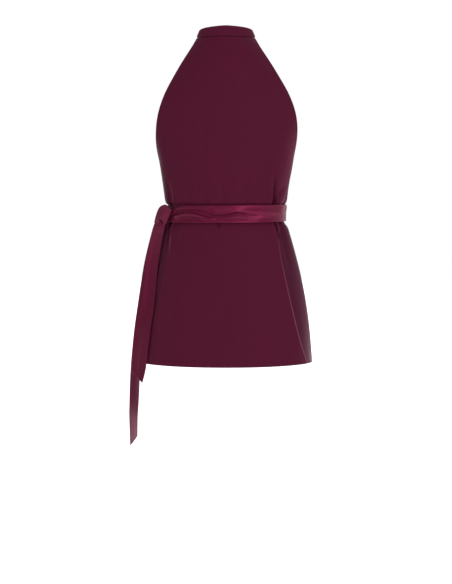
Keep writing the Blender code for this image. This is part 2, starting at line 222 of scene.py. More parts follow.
def make_object(name, shape):
    """Turn a bmesh into an object of the scene."""
    mesh = bpy.data.meshes.new(name)
    shape.to_mesh(mesh)
    shape.free()
    thing = bpy.data.objects.new(name, mesh)
    bpy.context.scene.collection.objects.link(thing)
    return thing


def make_floor():
    """A pale disc under the garment that the camera sees as white."""
    disc = bmesh.new()
    bmesh.ops.create_circle(disc, cap_ends=True, segments=FLOOR_SIDES, radius=FLOOR_RADIUS)
    bmesh.ops.translate(disc, verts=disc.verts, vec=(0.0, 0.0, FLOOR_LEVEL))
    floor = make_object("floor", disc)
    paint = bpy.data.materials.new("pale_floor")
    paint.use_nodes = True
    surface = paint.node_tree.nodes["Principled BSDF"]
    set_inputs(surface, Base_Color=FLOOR_COLOUR, Roughness=FLOOR_DULLNESS, Emission_Color=WHITE)
    path = add_node(paint.node_tree, "LightPath")
    join(path.outputs["Is Camera Ray"], surface.inputs["Emission Strength"])
    floor.data.materials.append(paint)


make_floor()
print("floor", FLOOR_LEVEL, "m below the neck")

# %% [markdown]
# ## What both cloths share
#
# Crepe and satin differ in weave but not in how they are dyed.  Two effects serve both,
# so each is a node group with named sockets, built once: an uneven dye that drifts over
# hand-wide patches, and a painted highlight, a paler colour along edges, seams and fold
# tops where light would catch them.  How much painted highlight each point gets is
# written on the mesh as an attribute, because only the shape knows it.

# %% Node group helpers
def new_group(name, inputs, outputs):
    """An empty shader group with named sockets and its two end nodes."""
    group = bpy.data.node_groups.new(name, "ShaderNodeTree")
    for label, kind, value in inputs:
        socket = group.interface.new_socket(name=label, in_out="INPUT", socket_type=kind)
        socket.default_value = value
    for label, kind in outputs:
        group.interface.new_socket(name=label, in_out="OUTPUT", socket_type=kind)
    start = group.nodes.new("NodeGroupInput")
    end = group.nodes.new("NodeGroupOutput")
    return group, start, end


def add_noise(tree, vector, cells, detail, roughness):
    """A Noise texture with so many cells to the metre in each direction."""
    stretch = add_node(tree, "VectorMath")
    stretch.operation = "MULTIPLY"
    stretch.inputs[1].default_value = cells
    join(vector, stretch.inputs[0])
    node = add_node(tree, "TexNoise", Scale=1.0, Detail=detail, Roughness=roughness)
    join(stretch.outputs["Vector"], node.inputs["Vector"])
    return node.outputs["Fac"]


# %% Uneven dye
DYE_PATCH = (7.0, 7.0, 5.0)      # per metre: patches about a hand wide
DYE_STREAK = (95.0, 95.0, 6.0)   # per metre: thin upright streaks


def make_uneven_dye():
    """Colour that drifts a little over the cloth."""
    group, start, end = new_group(
        "uneven dye",
        [("Color", "NodeSocketColor", WHITE), ("Amount", "NodeSocketFloat", 0.1)],
        [("Color", "NodeSocketColor")],
    )
    place = add_node(group, "TexCoord").outputs["Object"]
    patches = add_noise(group, place, DYE_PATCH, 2.0, 0.5)
    streaks = add_noise(group, place, DYE_STREAK, 2.0, 0.5)
    both = add_math(group, "ADD", patches, streaks)
    drift = add_math(group, "SUBTRACT", both, 1.0)
    gain = add_math(group, "MULTIPLY_ADD", drift, start.outputs["Amount"], 1.0)
    tint = add_node(group, "VectorMath")
    tint.operation = "SCALE"
    join(start.outputs["Color"], tint.inputs[0])
    join(gain, tint.inputs["Scale"])
    join(tint.outputs["Vector"], end.inputs["Color"])
    return group


uneven_dye = make_uneven_dye()
print("group:", uneven_dye.name)


# %% Painted highlight
def make_painted_edge_highlight():
    """Paler colour painted where light would catch the cloth: a painted highlight, read from the mesh
    attribute that stores it.
    """
    group, start, end = new_group(
        "painted edge highlight",
        [("Color", "NodeSocketColor", WHITE), ("Pale Color", "NodeSocketColor", WHITE)],
        [("Color", "NodeSocketColor")],
    )
    painted_highlight = add_node(group, "Attribute")
    painted_highlight.attribute_name = "painted_highlight"
    mix = add_node(group, "Mix")
    mix.data_type = "RGBA"
    join(painted_highlight.outputs["Fac"], mix.inputs["Factor"])
    join(start.outputs["Color"], mix.inputs["A"])
    join(start.outputs["Pale Color"], mix.inputs["B"])
    join(mix.outputs["Result"], end.inputs["Color"])
    return group


painted_edge_highlight = make_painted_edge_highlight()
print("group:", painted_edge_highlight.name)

# %% [markdown]
# ## Crepe
#
# Crepe is woven from hard-twisted yarns that shrink unevenly and leave a fine pebbled
# surface, about two grains to the millimetre, a little longer up and down than across.
# It is matt, with a faint bloom where the surface turns away.  A wave texture would look
# like ribs, so the grain is noise at two sizes, read from Object coordinates: the cloth
# turns through every direction, and solid noise has no seams or stretched places.
# The fronts take a copy of the crepe painted darker and a little bluer, as painted shade for their sides
# that turn from the light, and with less sheen.

# %% Weaves
CREPE_FINE = (2100.0, 2100.0, 1300.0)    # per metre: single grains
CREPE_COARSE = (620.0, 620.0, 300.0)     # per metre: groups of grains
CREPE_DULLNESS = (0.58, 0.74)            # least and most


def make_weave(name, source, fine, coarse, detail, dullness):
    """Height of a weave of two sizes, and how its dullness varies with the larger one."""
    group, start, end = new_group(
        name,
        [("Coarse Share", "NodeSocketFloat", 0.5)],
        [("Height", "NodeSocketFloat"), ("Roughness", "NodeSocketFloat")],
    )
    place = add_node(group, "TexCoord").outputs[source]
    small = add_noise(group, place, fine, 1.0, 0.5)
    large = add_noise(group, place, coarse, 2.0, detail)
    held = add_math(group, "MULTIPLY", large, start.outputs["Coarse Share"])
    join(add_math(group, "ADD", small, held), end.inputs["Height"])
    dull = add_math(group, "MULTIPLY_ADD", large, dullness[1] - dullness[0], dullness[0])
    join(dull, end.inputs["Roughness"])
    print("group:", name)
    return group


crepe_grain = make_weave("crepe grain", "Object", CREPE_FINE, CREPE_COARSE, 0.6, CREPE_DULLNESS)

# %% Cloth material
CREPE_COLOUR = (0.0850, 0.0068, 0.0262, 1.0)
# the fronts' copy of the crepe: darker, as painted shade for sides that turn from the light
CREPE_PAINTED_SHADE_COLOUR = (0.0700, 0.0078, 0.0262, 1.0)
# colour of the crepe's painted highlight along edges and seams
CREPE_HIGHLIGHT_PAINT = (0.2500, 0.0700, 0.1150, 1.0)
CREPE_DRIFT = 0.10
CREPE_GRAIN_DEPTH = 0.00012
CREPE_GRAIN_SHARE = 0.6
CREPE_GLOSS = 0.06
CREPE_NAP = 0.045
CREPE_FRONT_NAP = 0.022
CREPE_NAP_SOFTNESS = 0.28
CREPE_NAP_TINT = (1.0, 0.75, 0.85, 1.0)


def use_group(tree, group, **values):
    """Place a group in a material and set its plain inputs."""
    node = add_node(tree, "Group")
    node.node_tree = group
    return set_inputs(node, **values)


def make_cloth(name, colour, pale, drift, weave, share, depth, **finish):
    """A dyed cloth with a painted highlight along edges and a weave; the rest is set on the surface
    itself.
    """
    material = bpy.data.materials.new(name)
    material.use_nodes = True
    tree = material.node_tree
    surface = set_inputs(tree.nodes["Principled BSDF"], **finish)
    dye = use_group(tree, uneven_dye, Color=colour, Amount=drift)
    edge = use_group(tree, painted_edge_highlight, Pale_Color=pale)
    grain = use_group(tree, weave, Coarse_Share=share)
    bump = add_node(tree, "Bump", Strength=1.0, Distance=depth)
    join(dye.outputs["Color"], edge.inputs["Color"])
    join(edge.outputs["Color"], surface.inputs["Base Color"])
    join(grain.outputs["Roughness"], surface.inputs["Roughness"])
    join(grain.outputs["Height"], bump.inputs["Height"])
    join(bump.outputs["Normal"], surface.inputs["Normal"])
    print("material:", name)
    return material


def make_crepe(name, colour, nap):
    """Matt burgundy crepe."""
    return make_cloth(
        name, colour, CREPE_HIGHLIGHT_PAINT, CREPE_DRIFT, crepe_grain, CREPE_GRAIN_SHARE, CREPE_GRAIN_DEPTH,
        Specular_IOR_Level=CREPE_GLOSS,
        Sheen_Weight=nap, Sheen_Roughness=CREPE_NAP_SOFTNESS, Sheen_Tint=CREPE_NAP_TINT)


crepe = make_crepe("burgundy_crepe", CREPE_COLOUR, CREPE_NAP)
crepe_painted_shade = make_crepe("burgundy_crepe_painted_shade", CREPE_PAINTED_SHADE_COLOUR, CREPE_FRONT_NAP)

# %% [markdown]
# ## Satin
#
# The belt is satin: its long floats lie side by side along the strip, so it shines
# along them and shows every fold as a light and a dark streak.  The floats follow the
# strip round the waist and down the ends, so this weave is read from each piece's own
# UV map, laid out in metres with U along the strip.

# %% Satin
SATIN_FLOAT = (260.0, 4200.0, 1.0)       # per metre: along the strip, across it
SATIN_SLUB = (22.0, 700.0, 1.0)          # per metre: long uneven threads
SATIN_DULLNESS = (0.32, 0.46)            # least and most
SATIN_COLOUR = (0.0760, 0.0044, 0.0190, 1.0)
# colour of the satin's painted highlight along edges and fold tops
SATIN_HIGHLIGHT_PAINT = (0.1300, 0.0200, 0.0460, 1.0)
SATIN_DRIFT = 0.08
SATIN_FLOAT_DEPTH = 0.00003
SATIN_SLUB_SHARE = 0.8
SATIN_GLOSS = 1.0
SATIN_GLOSS_TINT = (1.0, 0.11, 0.32, 1.0)
SATIN_NAP = 0.10
SATIN_NAP_SOFTNESS = 0.34
SATIN_NAP_TINT = (1.0, 0.60, 0.78, 1.0)

satin_floats = make_weave("satin floats", "UV", SATIN_FLOAT, SATIN_SLUB, 0.5, SATIN_DULLNESS)
satin = make_cloth(
    "burgundy_satin", SATIN_COLOUR, SATIN_HIGHLIGHT_PAINT, SATIN_DRIFT, satin_floats, SATIN_SLUB_SHARE,
    SATIN_FLOAT_DEPTH, Specular_IOR_Level=SATIN_GLOSS, Specular_Tint=SATIN_GLOSS_TINT,
    Sheen_Weight=SATIN_NAP, Sheen_Roughness=SATIN_NAP_SOFTNESS, Sheen_Tint=SATIN_NAP_TINT)

# %% [markdown]
# ## From a hard solid to a sheet of cloth
#
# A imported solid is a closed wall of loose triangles.  Subdividing those triangles gives
# lumps, because they meet in fives and sevens.  So its outward wall is cut free, its
# corners are read back row by row, and a fresh four-sided grid is laid on them.  That
# grid subdivides into an even, smooth sheet with the solid's own form.

# %% Cut the outward wall free
MERGE = 0.000005
RIM_ANGLE = math.radians(60.0)


def flood(faces):
    """Sort faces into islands that hang together."""
    left = set(faces)
    islands = []
    while left:
        front = [left.pop()]
        island = list(front)
        while front:
            face = front.pop()
            for edge in face.edges:
                for other in edge.link_faces:
                    if other in left:
                        left.remove(other)
                        front.append(other)
                        island.append(other)
        islands.append(island)
    return islands


def outward_share(faces):
    """How much of some faces' area looks away from the garment's upright axis."""
    total = 0.0
    for face in faces:
        middle = face.calc_center_median()
        away = Vector((middle.x, middle.y, 0.0)).normalized()
        total += face.calc_area() * face.normal.dot(away)
    return total


def outward_wall(node):
    """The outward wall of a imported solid, without its rims and its inner wall."""
    wall = bmesh.new()
    wall.from_mesh(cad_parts[node].data)
    bmesh.ops.remove_doubles(wall, verts=wall.verts[:], dist=MERGE)
    rims = [edge for edge in wall.edges if edge.calc_face_angle(0.0) > RIM_ANGLE]
    bmesh.ops.split_edges(wall, edges=rims)
    islands = flood(wall.faces)
    keep = set(max(islands, key=outward_share))
    spare = [face for face in wall.faces if face not in keep]
    bmesh.ops.delete(wall, geom=spare, context="FACES")
    return wall


# %% Read its corners in rows
def border_loop(wall):
    """The corners round the border of a wall, in order."""
    start = next(vert for vert in wall.verts if vert.is_boundary)
    loop = [start]
    previous = None
    while True:
        here = loop[-1]
        steps = [edge.other_vert(here) for edge in here.link_edges if edge.is_boundary]
        following = steps[0] if steps[0] is not previous else steps[1]
        if following is start:
            return loop
        previous = here
        loop.append(following)


def sides_of(wall):
    """The four sides of a wall's border, each a list of corners between two sharp turns."""
    loop = border_loop(wall)
    turns = []
    for i, vert in enumerate(loop):
        before = (vert.co - loop[i - 1].co).normalized()
        after = (loop[(i + 1) % len(loop)].co - vert.co).normalized()
        turns.append(before.angle(after))
    marks = sorted(sorted(range(len(loop)), key=lambda i: -turns[i])[:4])
    sides = []
    for first, last in zip(marks, marks[1:] + [marks[0] + len(loop)]):
        sides.append([loop[i % len(loop)] for i in range(first, last + 1)])
    return sides


def row_below(row, done):
    """The next row of corners, in the same order as the row above it."""
    below = set()
    for vert in row:
        below.update(edge.other_vert(vert) for edge in vert.link_edges)
    below -= done
    if not below:
        return []
    here = next(edge.other_vert(row[0]) for edge in row[0].link_edges
                if edge.is_boundary and edge.other_vert(row[0]) in below)
    ordered = [here]
    below.remove(here)
    while below:
        here = next(edge.other_vert(here) for edge in here.link_edges if edge.other_vert(here) in below)
        ordered.append(here)
        below.remove(here)
    return ordered


def read_rows(node):
    """Places of the outward wall's corners, row by row from its highest side."""
    wall = outward_wall(node)
    row = max(sides_of(wall), key=lambda side: sum(vert.co.z for vert in side) / len(side))
    done = set()
    rows = []
    while row:
        rows.append([vert.co.copy() for vert in row])
        done.update(row)
        row = row_below(row, done)
    wall.free()
    return rows


# %% [markdown]
# ## Shaping a sheet
#
# The grid gets one more line of corners close to each border, so that the rolled edges
# stay crisp, and is rounded by Catmull-Clark subdivision.  Creases could come from a
# cloth simulation, but the photograph shows particular ones in particular places, so
# they are pressed in one by one.  Each crease is a row of a short table: a line of two or
# more places, how wide it is on either side, how deep, and how fast it fades at its
# ends.  Corners move along their own normals, so a crease keeps the sheet's form.

# %% Soft rises and lines
def smooth_step(share):
    """Rise softly from nought to one."""
    share = np.clip(share, 0.0, 1.0)
    return share * share * (3.0 - 2.0 * share)


def along_line(run, line):
    """Read a given line between its places, bending softly at each."""
    at = np.array([place[0] for place in line], dtype=float)
    value = np.array([place[1] for place in line], dtype=float)
    slope = np.gradient(value, at)
    run = np.clip(run, at[0], at[-1])
    cell = np.clip(np.searchsorted(at, run, side="right") - 1, 0, len(at) - 2)
    step = at[cell + 1] - at[cell]
    part = (run - at[cell]) / step
    rest = 1.0 - part
    ends = (1.0 + 2.0 * part) * rest ** 2 * value[cell] + part ** 2 * (3.0 - 2.0 * part) * value[cell + 1]
    bends = part * rest ** 2 * slope[cell] - part ** 2 * rest * slope[cell + 1]
    return ends + bends * step


# %% Lay a grid and round it
EDGE_LINE = 0.28


def with_ends(line):
    """A line of places with one more place close to either end."""
    first = line[0].lerp(line[1], EDGE_LINE)
    last = line[-1].lerp(line[-2], EDGE_LINE)
    return [line[0], first, *line[1:-1], last, line[-1]]


def with_row_ends(rows):
    """Rows of places with one more row inside the first and the last."""
    return list(zip(*[with_ends(column) for column in zip(*rows)]))


def finer_borders(rows):
    """Rows of places with one more line inside each of the four borders."""
    return with_row_ends([with_ends(row) for row in rows])


def spread_columns(rows, shares):
    """The same rows with their columns at other shares of the way across."""
    spread = []
    for row in rows:
        at = np.linspace(0.0, 1.0, len(row))
        parts = [along_line(np.array(shares), list(zip(at, [p[c] for p in row]))) for c in range(3)]
        spread.append([Vector(place) for place in zip(*parts)])
    return spread


def face_outwards(sheet):
    """Turn the sheet over if it looks towards the garment's axis."""
    sheet.normal_update()
    if outward_share(sheet.faces) < 0.0:
        bmesh.ops.reverse_faces(sheet, faces=sheet.faces[:])


def add_modifier(piece, name, kind, **settings):
    """A modifier with its settings."""
    modifier = piece.modifiers.new(name, kind)
    for label, value in settings.items():
        setattr(modifier, label, value)


def lay_sheet(name, rows, levels):
    """A smooth sheet through rows of places, as an object."""
    sheet = bmesh.new()
    across = len(rows[0]) - 1
    down = len(rows) - 1
    made = bmesh.ops.create_grid(sheet, x_segments=across, y_segments=down, size=1.0)
    for corner, place in zip(made["verts"], [place for row in rows for place in row]):
        corner.co = place
    face_outwards(sheet)
    piece = make_object(name, sheet)
    add_modifier(piece, "rounding", "SUBSURF",
                 levels=levels, render_levels=levels, boundary_smooth="PRESERVE_CORNERS")
    ready = piece.evaluated_get(bpy.context.evaluated_depsgraph_get())
    piece.data = bpy.data.meshes.new_from_object(ready)
    piece.data.name = name
    piece.modifiers.clear()
    print(name, "grid", down, "x", across, "->", len(piece.data.polygons), "faces")
    return piece


# %% Read and write corners all at once
MM = 1000.0


def places_of(piece):
    """Places of a piece's corners, in millimetres."""
    places = np.empty(len(piece.data.vertices) * 3)
    piece.data.vertices.foreach_get("co", places)
    return places.reshape(-1, 3) * MM


def normals_of(piece):
    """Outward directions of a piece's corners."""
    normals = np.empty(len(piece.data.vertices) * 3)
    piece.data.vertex_normals.foreach_get("vector", normals)
    return normals.reshape(-1, 3)


def move_corners(piece, places):
    """Put a piece's corners at places in millimetres."""
    piece.data.vertices.foreach_set("co", (places / MM).ravel())
    piece.data.update()


def push_out(piece, push):
    """Move each corner outwards by its own number of millimetres."""
    move_corners(piece, places_of(piece) + normals_of(piece) * push[:, None])


def round_back(places):
    """Degrees round from the middle of the back, positive to the wearer's right."""
    return np.degrees(np.arctan2(places[:, 0], -places[:, 1]))


def round_front(places):
    """Degrees round from the centre front, positive to the wearer's right."""
    return np.degrees(np.arctan2(places[:, 0], places[:, 1]))


# %% Fill out a panel
#   down, how far the cloth stands proud of the solid, mm
SWELL = [
    (0, 0.2), (30, 0.4), (100, 0.6), (130, 1.4), (165, 1.3), (200, 0.6), (245, 0.3), (280, 0.8),
    (320, 1.3), (350, 2), (362, 2.4), (367, 2), (371, -1), (376, -1.2), (402, -1.2), (409, -1.3),
    (413, 0), (420, 1.6), (440, 1.8), (700, 1.7), (724, 1.7),
]
UNDERARM = 257.0
HEM = 724.0
HEM_DROP = 1.0
HEM_DROP_RUN = 90.0


def fill_out(piece):
    """Let a body panel stand a little proud above and below the belt, and drop its hem."""
    down = -places_of(piece)[:, 2]
    push_out(piece, along_line(down, SWELL))
    places = places_of(piece)
    places[:, 2] -= HEM_DROP * smooth_step((down - HEM + HEM_DROP_RUN) / HEM_DROP_RUN)
    move_corners(piece, places)


# %% Bring the right seam round
SEAM_TURN = 66.0
SEAM_TURN_REACH = 16.0
#   down, how far the seam sits nearer the middle of the back than on the solid, mm
SEAM_SHIFT = [
    (0, 0), (412, 0), (440, 4.4), (480, 8.6), (520, 9.4), (560, 9.2), (640, 9.2), (680, 7.8),
    (724, 3.4), (760, 2.6),
]


def shift_right_seam(piece):
    """Slide cloth beside the right seam along the body."""
    places = places_of(piece)
    normals = normals_of(piece)
    level = np.stack([normals[:, 1], -normals[:, 0], np.zeros(len(places))], axis=-1)
    level /= np.linalg.norm(level, axis=1)[:, None]
    near = np.exp(-((round_back(places) - SEAM_TURN) / SEAM_TURN_REACH) ** 2)
    shift = along_line(-places[:, 2], SEAM_SHIFT) * near
    move_corners(piece, places + level * shift[:, None])


# %% Press creases
def crease_depth(run, beside, scale, creases):
    """How far each corner is pushed out by a table of creases."""
    total = np.zeros(len(run))
    for line, near, far, depth, fade_in, fade_out in creases:
        apart = (beside - along_line(run, line)) * scale
        width = np.where(apart < 0.0, near, far)
        grow = smooth_step((run - line[0][0]) / fade_in) * smooth_step((line[-1][0] - run) / fade_out)
        total += depth * grow * np.exp(-(apart / width) ** 2)
    return total


def down_and_round(piece, turn_of):
    """Where a panel's corners lie: how far down, how many degrees round, and mm to a degree."""
    places = places_of(piece)
    radius = np.hypot(places[:, 0], places[:, 1])
    return -places[:, 2], turn_of(places), np.radians(radius)


def press_body_creases(piece, creases, turn_of):
    """Creases of a body panel: their lines run down, and are placed in degrees round."""
    push = crease_depth(*down_and_round(piece, turn_of), creases)
    push_out(piece, push)
    print(piece.name, "creases between", round(push.min(), 2), "and", round(push.max(), 2), "mm")


# %% [markdown]
# ## Edges and walls
#
# A turned edge is thicker than the cloth beside it and a pressed seam stands up in a
# low ridge with a groove down its middle.  Both catch the light as a fine line.  The
# ridge is shaped from each corner's distance to the border, and the same distance sets
# a painted highlight: a paler colour along the edge, stored as the attribute that the
# highlight group reads.  Where two panels are sewn together, one border is slid up to
# the other, so that no light shows between them.  A Solidify modifier then gives the
# sheet its wall, inwards, and a Bevel rounds the rims.

# %% Edge ridges
PAINTED_HIGHLIGHT_REACH = 1.6


def border_places(piece):
    """Corners on the border of a sheet."""
    sheet = bmesh.new()
    sheet.from_mesh(piece.data)
    found = [vert.co * MM for vert in sheet.verts if vert.is_boundary]
    sheet.free()
    return found


def distance_to(places, targets):
    """Distance from each place to the nearest target, in millimetres."""
    tree = KDTree(len(targets))
    for number, target in enumerate(targets):
        tree.insert(target, number)
    tree.balance()
    return np.array([tree.find(place)[2] for place in places])


def painted_highlight_of(piece):
    """How much painted highlight each corner has."""
    painted_highlight = np.zeros(len(piece.data.vertices))
    piece.data.attributes["painted_highlight"].data.foreach_get("value", painted_highlight)
    return painted_highlight


def set_painted_highlight(piece, painted_highlight):
    """Store how much painted highlight each corner has, from nought to one."""
    piece.data.attributes["painted_highlight"].data.foreach_set("value", np.clip(painted_highlight, 0.0, 1.0))


def raise_edges_and_paint_highlight(piece, rules):
    """Raise ridges along chosen stretches of the border and paint a highlight along them.

    A rule has a test for border corners, the ridge's height and the paleness of its painted highlight by
    level, and its reach.
    """
    places = places_of(piece)
    border = border_places(piece)
    down = -places[:, 2]
    push = np.zeros(len(places))
    painted_highlight = np.zeros(len(places))
    for belongs, height, pale, reach in rules:
        apart = distance_to(places, [place for place in border if belongs(place)])
        push += along_line(down, height) * np.exp(-(apart / reach) ** 2)
        painted_highlight = np.maximum(painted_highlight, along_line(down, pale) * np.exp(-(apart / PAINTED_HIGHLIGHT_REACH) ** 2))
    push_out(piece, push)
    piece.data.attributes.new("painted_highlight", "FLOAT", "POINT")
    set_painted_highlight(piece, painted_highlight)


def paint_fold_highlights(piece, where, lines):
    """Paint highlights along the tops of folds; they are laid out as creases are, with paleness for
    depth.
    """
    set_painted_highlight(piece, painted_highlight_of(piece) + crease_depth(*where, lines))


def paint_highlight_by_level(piece, table):
    """Paint whole levels of a piece paler, as a painted highlight where light would catch them."""
    set_painted_highlight(piece, np.maximum(painted_highlight_of(piece), along_line(-places_of(piece)[:, 2], table)))


def evenly(value):
    """A table that has the same value at every level."""
    return [(0.0, value), (HEM, value)]


def paint_rim_highlight(piece, pale):
    """Paint a highlight round the whole border, without a ridge."""
    raise_edges_and_paint_highlight(piece, [(lambda place: True, evenly(0.0), pale, 1.0)])


# %% Close a side seam
SEAM_CLEARANCE = 0.15
SEAM_MEET_REACH = 7.0
SEAM_START = UNDERARM + 3.0


def seam_line(piece, belongs):
    """A side seam's border as rows of down, x and y, from the underarm to the hem."""
    line = [(-place[2], place[0], place[1]) for place in border_places(piece) if belongs(place)]
    return np.array(sorted(row for row in line if row[0] > SEAM_START)).T


def meet_seam(piece, neighbour, belongs):
    """Slide a panel's seam border up to its neighbour's, so that no light shows between them."""
    places = places_of(piece)
    level = -places[:, 2]
    down, x, y = seam_line(piece, belongs)
    other_down, other_x, other_y = seam_line(neighbour, belongs)
    gap_x = np.interp(level, other_down, other_x) - np.interp(level, down, x)
    gap_y = np.interp(level, other_down, other_y) - np.interp(level, down, y)
    gap = np.stack([gap_x, gap_y, np.zeros(len(places))], axis=-1)
    width = np.linalg.norm(gap, axis=1)
    share = 1.0 - SEAM_CLEARANCE / np.maximum(width, SEAM_CLEARANCE)
    near = np.exp(-(distance_to(places, list(zip(x, y, -down))) / SEAM_MEET_REACH) ** 2)
    move_corners(piece, places + gap * (share * near)[:, None])
    print(piece.name, "seam drawn in by up to", round(float((width * near).max()), 2), "mm")


# %% Give the sheet a wall
RIM_ROUNDING = 0.0004
RIM_LIMIT = math.radians(50.0)


def finish_cloth(piece, wall, material):
    """Thickness inwards, rounded rims, smooth shading and the cloth itself."""
    piece.data.shade_smooth()
    piece.data.materials.clear()
    piece.data.materials.append(material)
    add_modifier(piece, "wall", "SOLIDIFY", thickness=wall, offset=-1.0)
    add_modifier(piece, "rolled_rim", "BEVEL", affect="EDGES", limit_method="ANGLE",
                 angle_limit=RIM_LIMIT, width=RIM_ROUNDING, segments=2, profile=0.5, material=-1)


# %% [markdown]
# ## Back
#
# The back is one piece from the collar seam to the hem, cut away at the shoulders.  It
# hangs almost smooth: the belt draws it in, so a deep pinch runs down beside the right
# seam, a shallower one beside the left, and faint upright gathers lie between them.
# Below the belt the skirt stands off, with a short dark fold beside the right seam and
# a small nick under the belt near the middle.

# %% Back creases
#   line (down, degrees round) ..., width before, width after, depth, fade in, fade out
BACK_CREASES = [
    ([(292, 58.2), (316, 59.6), (338, 62), (360, 64), (376, 64.6)], 5, 2.2, -17, 84, 2),
    ([(312, 56.4), (345, 57.6), (376, 58.6)], 4, 3, 1, 50, 2),
    ([(320, 67.4), (345, 69), (376, 70)], 2.6, 3.6, 1.4, 50, 2),
    ([(322, -55), (350, -56), (376, -56)], 5, 6, -2.4, 36, 2),
    ([(285, -48), (330, -49), (376, -49)], 5, 7, -1.7, 50, 2),
    ([(310, -38), (345, -38.5), (376, -38)], 4, 4, 1.2, 40, 2),
    ([(300, -27), (340, -27), (376, -26)], 4, 5, -1.5, 50, 2),
    ([(290, -6), (335, -5), (376, -4)], 3.2, 4, -1.5, 60, 2),
    ([(300, 4), (335, 5), (376, 6)], 3, 3.6, 1.1, 50, 2),
    ([(250, 26), (310, 27), (376, 27)], 3, 4, -1.8, 90, 2),
    ([(262, 48), (300, 49), (345, 50)], 5, 5, -1.3, 50, 40),
    ([(330, 36), (355, 36), (376, 36)], 4, 4, -1.8, 30, 2),
    ([(238, -62), (258, -63), (284, -66)], 4, 4, -0.8, 20, 22),
    ([(212, 62), (228, 63), (244, 64)], 3.5, 3.5, -0.6, 14, 14),
    ([(406, 65.8), (420, 64.9), (431, 64.2), (449, 63.3), (470, 62.6)], 2, 1.4, -10, 2, 54),
    ([(406, 61), (430, 60), (460, 59)], 4, 3, 0.9, 2, 44),
    ([(406, 68.2), (430, 67.4), (460, 66.2)], 2, 2.6, 1.2, 2, 44),
    ([(406, -11), (415, -10), (422, -8.6)], 5, 3.6, -4.6, 2, 8),
    ([(416, -6.6), (424, -7.4), (434, -8)], 3.6, 4, 1.3, 5, 8),
    ([(406, 38), (420, 38), (440, 39)], 9, 9, -1, 2, 24),
    ([(470, 14), (600, 15), (724, 16)], 26, 26, 0.9, 160, 30),
    ([(480, -34), (600, -33), (724, -33)], 24, 24, 0.8, 160, 30),
    ([(500, -8), (620, -9), (724, -10)], 24, 24, -0.7, 160, 30),
    ([(500, 44), (620, 44), (724, 45)], 22, 22, -0.6, 160, 30),
]
#   creases that cross a side seam, in degrees round from the middle of the back
SIDE_CREASES = [
    ([(312, -66.5), (345, -67.6), (376, -67.8)], 2.2, 4, 1.3, 50, 2),
    ([(306, -72.5), (340, -73.6), (376, -74)], 4.6, 2.4, -3.2, 60, 2),
    ([(406, -71), (427, -69.2), (450, -65.8), (475, -63.4), (494, -62.6)], 1.8, 3.2, 1.3, 2, 60),
    ([(406, -75.5), (427, -73.5), (449, -70.4), (478, -68)], 5, 2.6, -8, 2, 46),
    ([(436, -76), (460, -75), (482, -74), (505, -73.6), (549, -73.2), (593, -73), (649, -74),
      (700, -75)], 3.4, 3, -6.5, 20, 240),
    ([(406, 72), (430, 70), (470, 67.5), (540, 66)], 3, 9, -6.5, 2, 110),
]
#   which stretch of its border a corner belongs to
CLEAR_OF_LAP = 60.0
ARMHOLE_END = UNDERARM - 4.0
HEM_START = HEM - 1.0
NECK_END = 1.0


def on_right_seam(place):
    """A border corner of the right side seam, away from the lap at the centre front."""
    return place[0] > CLEAR_OF_LAP and ARMHOLE_END < -place[2] < HEM_START


def on_left_seam(place):
    """The same for the left side seam."""
    return -place[0] > CLEAR_OF_LAP and ARMHOLE_END < -place[2] < HEM_START


def on_armhole(place):
    """A border corner that belongs to an armhole."""
    return NECK_END < -place[2] < ARMHOLE_END


def on_hem(place):
    """A border corner that belongs to the hem."""
    return -place[2] > HEM_START


# %% Make the back
BODY_WALL = 0.0014
BACK_COLUMNS = [
    0.0, 0.014, 0.046, 0.10, 0.16, 0.225, 0.295, 0.365, 0.435, 0.505, 0.575, 0.645, 0.715, 0.775, 0.83,
    0.88, 0.905, 0.922, 0.938, 0.954, 0.972, 0.988, 1.0,
]
#     how high each seam's ridge stands, and how pale its painted highlight is, by level
RIGHT_SEAM_HEIGHT = [(257, 0.3), (330, 0.6), (374, 0.8), (410, 0.3), (450, 0.5), (724, 0.8)]
RIGHT_SEAM_HIGHLIGHT_PAINT = [
    (257, 0.1), (310, 0.3), (335, 0.9), (374, 1), (410, 0.2), (450, 0.3), (560, 0.8), (724, 1),
]
LEFT_SEAM_HEIGHT = [(257, 0.2), (345, 0.4), (450, 0.4), (520, 0.2), (724, 0.2)]
LEFT_SEAM_HIGHLIGHT_PAINT = evenly(0.03)
#     test, height, paleness of the painted highlight, reach
PANEL_EDGES = [
    (on_armhole, evenly(0.25), evenly(0.12), 3),
    (on_hem, evenly(0.2), evenly(0.1), 3),
]
#     line (down, degrees round) ..., half widths, paleness of the painted highlight, fade in, fade out
BACK_FOLD_HIGHLIGHTS = [
    ([(306, -71.5), (338, -68.6), (360, -68.4), (378, -68.6)], 1.1, 1.6, 0.55, 46, 2),
    ([(406, -71), (427, -69.2), (450, -65.8), (475, -63.4), (494, -62.6)], 1.1, 1.6, 0.55, 2, 56),
]
#   how far behind the axis, how much lower the neck seam is sewn than on the solid, mm
NECK_DROP = [(0, 0), (12, 1.4), (28, 2.8), (62, 4)]


def lowered(place, extra):
    """A place of the neck seam, brought down to where the seam is sewn, and further."""
    drop = float(along_line(-place.y * MM, NECK_DROP)) + extra
    return place - Vector((0.0, 0.0, drop / MM))


